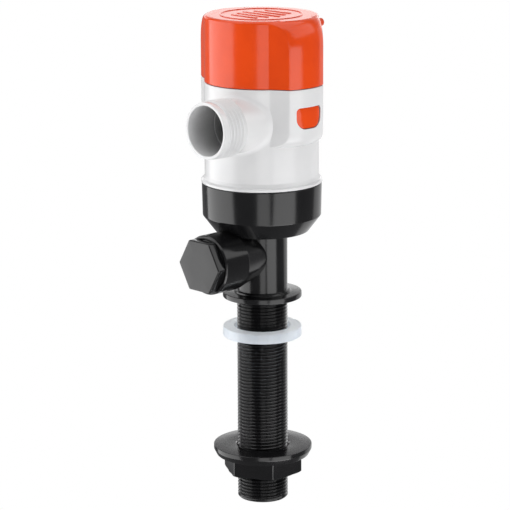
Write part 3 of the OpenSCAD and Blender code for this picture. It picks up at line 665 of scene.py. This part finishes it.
def make_body():
    """White body with chamber, lobes, pockets and windows."""
    shell = Shell()
    shell.grid(body_rows(lobe_angles()), closed=True)
    obj = piece(shell, "body_shell", WHITE, "housing", ["pump_body", "outlet_spout"])
    boolean(obj, tube_cutter("outlet_hole", OUT_BORE - 0.5, 8, 44, OUT_X, OUT_Z))
    for side in (1, -1):
        boolean(obj, pocket_cutter(side))
        boolean(obj, window_cutter(side))
    return obj


def spout_reach(angles, radius, lift):
    """How far along -Y the body's surface lies, under a ring about the outlet's axis."""
    x = OUT_X + radius * np.cos(angles)
    return np.sqrt((BODY_R + lift) ** 2 - x * x)


def make_spout():
    """Outlet with a fillet at the body, screw ridges and a plain nose."""
    angles = even_angles(144)
    ring = lying(OUT_X, OUT_Z)
    fillet, deep = 2.0, -1.6
    bore = OUT_BORE - 0.52
    inner, low, high = 27.0, 34.0, 47.2
    shell = Shell()
    rows = [ring(angles, bore, inner), ring(angles, bore, spout_reach(angles, bore, deep)),
            ring(angles, OUT_NECK + fillet, spout_reach(angles, OUT_NECK + fillet, deep))]
    for k in range(9):
        a = math.radians(90 * k / 8)
        radius, lift = OUT_NECK + fillet * (1 - math.sin(a)), fillet * (1 - math.cos(a))
        rows.append(ring(angles, radius, spout_reach(angles, radius, lift)))
    rows.append(ring(angles, OUT_NECK, low))
    shell.grid(rows)
    ridge = []
    for rise, s, ease in screw_levels(angles, RIDGE_SHAPE, OUT_PITCH, low, high, 0.7):
        ground = OUT_NECK + (OUT_NOSE - OUT_NECK) * np.clip((s - high + 0.8) / 0.8, 0, 1)
        ridge.append(ring(angles, ground + (OUT_CREST - OUT_NECK) * rise * ease, s))
    shell.grid(ridge, shift=len(RIDGE_SHAPE))
    nose = rounded([(OUT_NOSE, high, 0), (OUT_NOSE, OUT_FRONT, 0.45), (OUT_BORE, OUT_FRONT, 0.4),
                    (OUT_BORE, OUT_STEP, 0.1), (bore, OUT_STEP, 0.1), (bore, inner, 0)])
    lathe(shell, nose, angles, ring)
    return piece(shell, "outlet", WHITE, "housing", [])


def make_button(name, side, body, node):
    """Release button with a crowned, eased face, and the plate that keeps it in its lobe."""
    shell = Shell()
    axis, reach = LOBE_X - LOBE_FACE_R, LOBE_FACE_R - BUTTON_SINK
    rows = d_rows(side, [(POCKET_OUT - BUTTON_GAP - 0.4, -BUTTON_GAP)])
    for sink, grow in ((0.4, 0), (0.12, -0.1), (0.02, -0.35), (0, -0.7), (0, -2.2), (0, -3.7)):
        d = d_outline(-BUTTON_GAP + grow)
        x = axis + np.sqrt(reach ** 2 - d[:, 0] ** 2) - sink
        rows.append(np.stack([side * x, side * d[:, 0], d[:, 1]], 1))
    shell.grid(rows)
    fill_end(shell, rows[0])
    fill_end(shell, rows[-1])
    plate_t, past_side, past_end = 1.2, 0.6, 0.8
    low, high = sorted((side * (POCKET_OUT - BUTTON_GAP - plate_t), side * (POCKET_OUT - BUTTON_GAP)))
    box(shell, (low, -WINDOW_W - past_side, WINDOW_LOW - past_end),
        (high, WINDOW_W + past_side, WINDOW_TOP + past_end), 0.2)
    return piece(shell, name, ORANGE, body, [node])


# ---------------------------------------------------------------- cap

def cap_rows(angles):
    """Rings of the cap's shell, from the middle of its top, round the rim, to the middle of its underside."""
    crown = rounded([(0, CAP_TOP, 0), (CAP_R, CAP_TOP, 1.4), (CAP_R, CAP_TOP - 3, 0)], 7)
    rows = []
    for r, z in [(0, CAP_TOP), (8, CAP_TOP), (18, CAP_TOP), (26, CAP_TOP)]:
        rows.append(upright(angles, r, z))
    edge = [(float(r), float(z)) for r, z in crown[1:-1]]
    for z in np.arange(CAP_TOP - 1.9, CAP_BEND - 0.5, -0.45):
        edge.append((CAP_R, float(z)))
    edge += [(CAP_R, 128), (CAP_R, 122), (CAP_R, 117)]
    for r, z in edge:
        rows.append(upright(angles, smooth_max(r + 0 * angles, lobe_radius(angles, cap_drop(z)), 0.3), z))
    low = smooth_max(CAP_R + 0 * angles, lobe_radius(angles, 0), 0.3)
    for inset, rise in EASED_RIM:
        rows.append(upright(angles, low - inset, CAP_LOW + rise))
    inner = CAP_R - CAP_WALL
    inside = rounded([(inner + 1, CAP_LOW, 0), (inner, CAP_LOW, 0.4), (inner, CAP_TOP - CAP_WALL, 0.8),
                      (0, CAP_TOP - CAP_WALL, 0)], 4)
    rows += [upright(angles, r, z) for r, z in inside]
    return rows


def cap_fittings(shell):
    """Tongues, inner sleeve and ribs under the cap."""
    for side in (1, -1):
        low, high = sorted((side * (POCKET_IN + 0.4), side * (POCKET_IN + 2.8)))
        box(shell, (low, -8, WINDOW_TOP + 2), (high, 8, CAP_LOW + 2), 0.3)
    top = CAP_TOP - 1
    sleeve = rounded([(SHELL_R, FLANGE_HIGH, 0.3), (SHELL_R + 1.9, FLANGE_HIGH, 0.3), (SHELL_R + 1.9, top, 0),
                      (SHELL_R, top, 0)], 3)
    lathe(shell, sleeve, even_angles(96), closed=True)
    for turn in range(30, 360, 60):
        rib = Shell()
        box(rib, (SHELL_R + 1, -0.8, FLANGE_HIGH), (CAP_R - CAP_WALL + 0.2, 0.8, top), 0.2)
        swing = Matrix.Rotation(math.radians(turn), 3, "Z")
        shell.add([tuple(swing @ Vector(p)) for p in rib.points], rib.faces)


def top_pattern(shell):
    """Plain raised ring and bars on the cap's top."""
    low, high = CAP_TOP - 0.4, CAP_TOP + 0.3
    near, far, ease = 20.7, 21.5, 0.12
    ring = rounded([(near, low, 0), (far, low, 0), (far, high, ease), (near, high, ease)], 3)
    lathe(shell, ring, even_angles(144), closed=True)
    spacing, half_width = 6, 0.9
    for i in range(-2, 3):
        half_length, y = 13 - abs(i) * 2, i * spacing
        box(shell, (-half_length, y - half_width, low), (half_length, y + half_width, high), ease)


def make_cap():
    """Orange cap with its fittings, top pattern and the boss that holds the gland."""
    shell = Shell()
    shell.grid(cap_rows(lobe_angles()))
    cap_fittings(shell)
    top_pattern(shell)
    boss = rounded([(2.95, 25, 0), (4.6, 25, 0), (4.6, 32.4, 0.5), (2.95, 32.4, 0.3)], 4)
    lathe(shell, boss, even_angles(48), backward(0, GLAND_Z), closed=True)
    return piece(shell, "cap_shell", ORANGE, "cartridge", ["cap"])


def make_gland():
    """Soft tapered gland for the cord."""
    profile = rounded([(1.4, 26.5, 0.15), (2.85, 26.5, 0.2), (2.85, 32.5, 0), (3.8, 32.5, 0.2),
                       (3.8, 33.6, 0.3), (2.9, 34.4, 0.2), (2.9, 36, 0.1), (3.3, 36.3, 0.1),
                       (3.1, 37.2, 0.1), (2.5, 37.5, 0.1), (2.5, 38.8, 0.1), (2.8, 39.1, 0.1),
                       (2.6, 40, 0.1), (2.1, 40.4, 0.1), (2.1, GLAND_TIP, 0.35), (1.4, GLAND_TIP, 0.15)], 3)
    shell = Shell()
    lathe(shell, profile, even_angles(48), backward(0, GLAND_Z), closed=True)
    return piece(shell, "gland", ORANGE_RUBBER, "cartridge", ["cord_gland"])


# ---------------------------------------------------------------- inner parts

INNER = {
    "body_seal": SEAL, "plug_gasket": SEAL, "cartridge_seal": SEAL, "shaft_seal": SEAL,
    "motor_housing": DARK, "end_bell": DARK, "impeller": DARK,
    "motor_can": STEEL, "shaft": STEEL, "armature_core": CORE,
    "magnet_a": MAGNET, "magnet_b": MAGNET, "brush_a": CARBON, "brush_b": CARBON,
    "bearing_top": BRONZE, "bearing_low": BRONZE, "brush_springs": BRONZE, "terminals": BRONZE,
    "windings": COPPER, "commutator": COPPER,
}


def dress_inner_parts():
    """Gives the carried-over CAD nodes their materials."""
    for name, material in INNER.items():
        node = NODES[name]
        if not node.material_slots:
            node.data.materials.append(material)
        for place in node.material_slots:
            place.material = material


# ---------------------------------------------------------------- stage

def compass(turn, lift=0.0):
    """Unit vector from the pump at an angle turn to the right of the camera, lifted above level."""
    a, e = math.radians(CAM_AZIMUTH + turn), math.radians(lift)
    return Vector((math.sin(a) * math.cos(e), -math.cos(a) * math.cos(e), math.sin(e)))


def make_camera():
    """Long-lens camera that looks down on the outlet side."""
    forward = -compass(0, CAM_PITCH)
    a = math.radians(CAM_AZIMUTH)
    right = Vector((math.cos(a), math.sin(a), 0))
    up = right.cross(forward)
    turn = Matrix.Rotation(math.radians(CAM_ROLL), 3, forward)
    right, up = turn @ right, turn @ up
    data = bpy.data.cameras.new("camera")
    data.lens = CAM_LENS
    data.sensor_width = 36
    data.clip_start = 0.01
    camera = bpy.data.objects.new("camera", data)
    bpy.context.scene.collection.objects.link(camera)
    place = compass(0) * CAM_DISTANCE + Vector((0, 0, CAM_HEIGHT)) - right * CAM_LEFT
    turned = Matrix((right, up, -forward)).transposed().to_4x4()
    camera.matrix_world = Matrix.Translation(place) @ turned
    bpy.context.scene.camera = camera


def softbox(name, turn, lift, reach, width, height, radiance):
    """A rectangular soft light at an angle from the camera, facing the pump."""
    data = bpy.data.lights.new(name, "AREA")
    data.shape = "RECTANGLE"
    data.size, data.size_y = width, height
    data.energy = radiance * 4 * width * height
    light = bpy.data.objects.new(name, data)
    bpy.context.scene.collection.objects.link(light)
    place = Vector(LIGHT_AIM) + compass(turn, lift) * reach
    normal_for_painted_top_light = (place - Vector(LIGHT_AIM)).to_track_quat("Z", "Y")
    light.matrix_world = Matrix.Translation(place) @ normal_for_painted_top_light.to_matrix().to_4x4()
    light.visible_camera = False
    return light


def make_lights():
    """A pale studio: large boxes at the sides, strips in front, and two far ones behind."""
    softbox("left_box", -92, -12, 1.1, 1.55, 1.5, 1.8)
    softbox("left_high", -75, 35, 1.2, 1.3, 0.7, 1.1)
    softbox("front_strip", 3, -17, 1.1, 0.46, 0.85, 1.3)
    softbox("front_fade", 44, -17, 1.1, 0.9, 0.85, 1.7)
    softbox("front_low", 45, -50, 1.1, 1.0, 0.5, 2.6)
    softbox("right_high", 80, 35, 1.2, 1.3, 0.7, 1.0)
    softbox("right_rim", 146, -14, 1.1, 1.15, 1.4, 0.5)
    softbox("back_low", 180, 8.6, 2.6, 4.4, 0.42, 1.15)
    softbox("back_high", 180, 23, 2.6, 4.4, 0.8, 0.3)
    softbox("overhead", 0, 88, 1.0, 1.4, 1.4, 1.05)


def make_world():
    """White where it is seen, straight or through the washer, and dim grey as a light."""
    world = bpy.data.worlds.new("studio")
    bpy.context.scene.world = world
    world.use_nodes = True
    tree = world.node_tree
    tree.nodes.clear()
    rays = add(tree, "ShaderNodeLightPath").outputs
    seen = add(tree, "ShaderNodeMath", {0: rays["Is Camera Ray"], 1: rays["Is Transmission Ray"]},
               operation="MAXIMUM").outputs[0]
    colour = mix(tree, seen, rgb(0.18, 0.18, 0.185), rgb(1, 1, 1))
    back = add(tree, "ShaderNodeBackground", {"Color": colour, "Strength": 1.0})
    out = add(tree, "ShaderNodeOutputWorld")
    tree.links.new(back.outputs[0], out.inputs[0])


def make_floor():
    """Plain white floor just under the stem's end."""
    mesh = bpy.data.meshes.new("floor")
    level, reach = (-STEM_L - FLOOR_GAP) * MM, FLOOR_REACH
    corners = [(-reach, -reach, level), (reach, -reach, level), (reach, reach, level), (-reach, reach, level)]
    mesh.from_pydata(corners, [], [[0, 1, 2, 3]])
    floor = bpy.data.objects.new("floor", mesh)
    bpy.context.scene.collection.objects.link(floor)
    material = bpy.data.materials.new("floor_white")
    material.use_nodes = True
    tree = material.node_tree
    tree.nodes.clear()
    glow = add(tree, "ShaderNodeEmission", {"Color": rgb(1, 1, 1), "Strength": 1.0})
    out = add(tree, "ShaderNodeOutputMaterial")
    tree.links.new(glow.outputs[0], out.inputs[0])
    mesh.materials.append(material)
    floor.visible_glossy = False
    floor.visible_diffuse = False
    floor.visible_shadow = False
    floor.visible_transmission = True


make_camera()
make_base()
make_side_port()
make_side_plug()
make_nut()
make_washer()
make_body()
make_spout()
make_button("button_right_cap", 1, "button_right", "release_button_right")
make_button("button_left_cap", -1, "button_left", "release_button_left")
make_cap()
make_gland()
dress_inner_parts()
make_lights()
make_world()
make_floor()
bpy.context.scene.view_settings.view_transform = "Standard"
